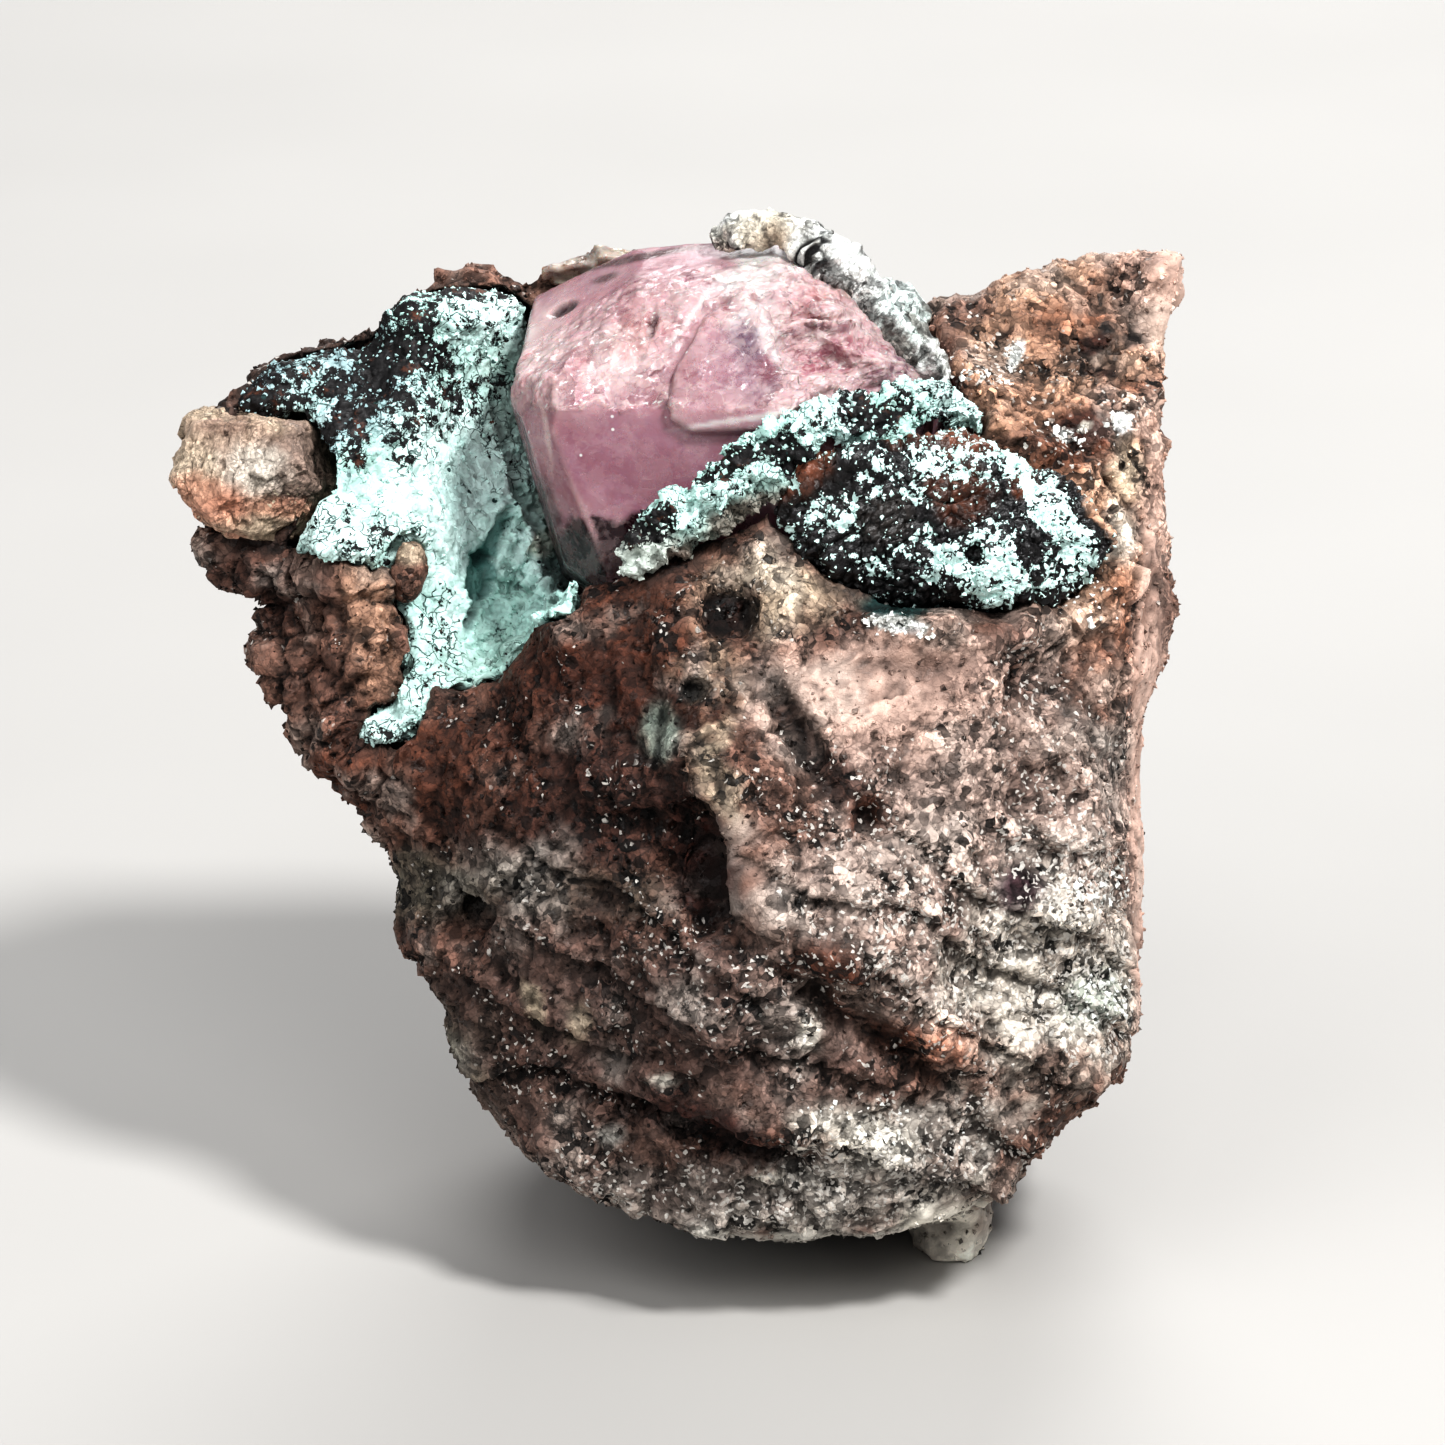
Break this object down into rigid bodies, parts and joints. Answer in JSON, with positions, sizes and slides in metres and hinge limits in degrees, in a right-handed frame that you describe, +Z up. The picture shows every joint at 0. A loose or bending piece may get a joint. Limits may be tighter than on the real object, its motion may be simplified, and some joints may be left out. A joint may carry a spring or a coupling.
{
  "type": "cobaltoan calcite specimen",
  "caption": "Upright lump of brown host rock with a stubby pink calcite crystal in a pocket lined with mint crust.",
  "frame": {"origin": "centre of the bounding box at the level of the flat that the specimen stands on", "axes": "+X to the right across the face, +Y away from the viewer through the rock, +Z up"},
  "size_m": [0.0498, 0.0376, 0.0498],
  "materials": {
    "host_rock": "matte",
    "pink_calcite": "satin",
    "white_rind": "matte",
    "rear_calcite": "satin",
    "mint_crust": "matte",
    "crest_crust": "matte",
    "oxide_mound": "matte",
    "pale_clast": "matte",
    "brown_chip": "matte"
  },
  "bodies": {
    "root": {"host_rock": "host_rock", "pink_calcite_crystal": "pink_calcite", "white_calcite_rind": "white_rind", "rear_calcite_crystals": "rear_calcite", "pocket_crust": "mint_crust", "crest_crust": "crest_crust", "oxide_mound": "oxide_mound", "pale_clast": "pale_clast", "brown_chip": "brown_chip"}
  },
  "joints": []
}
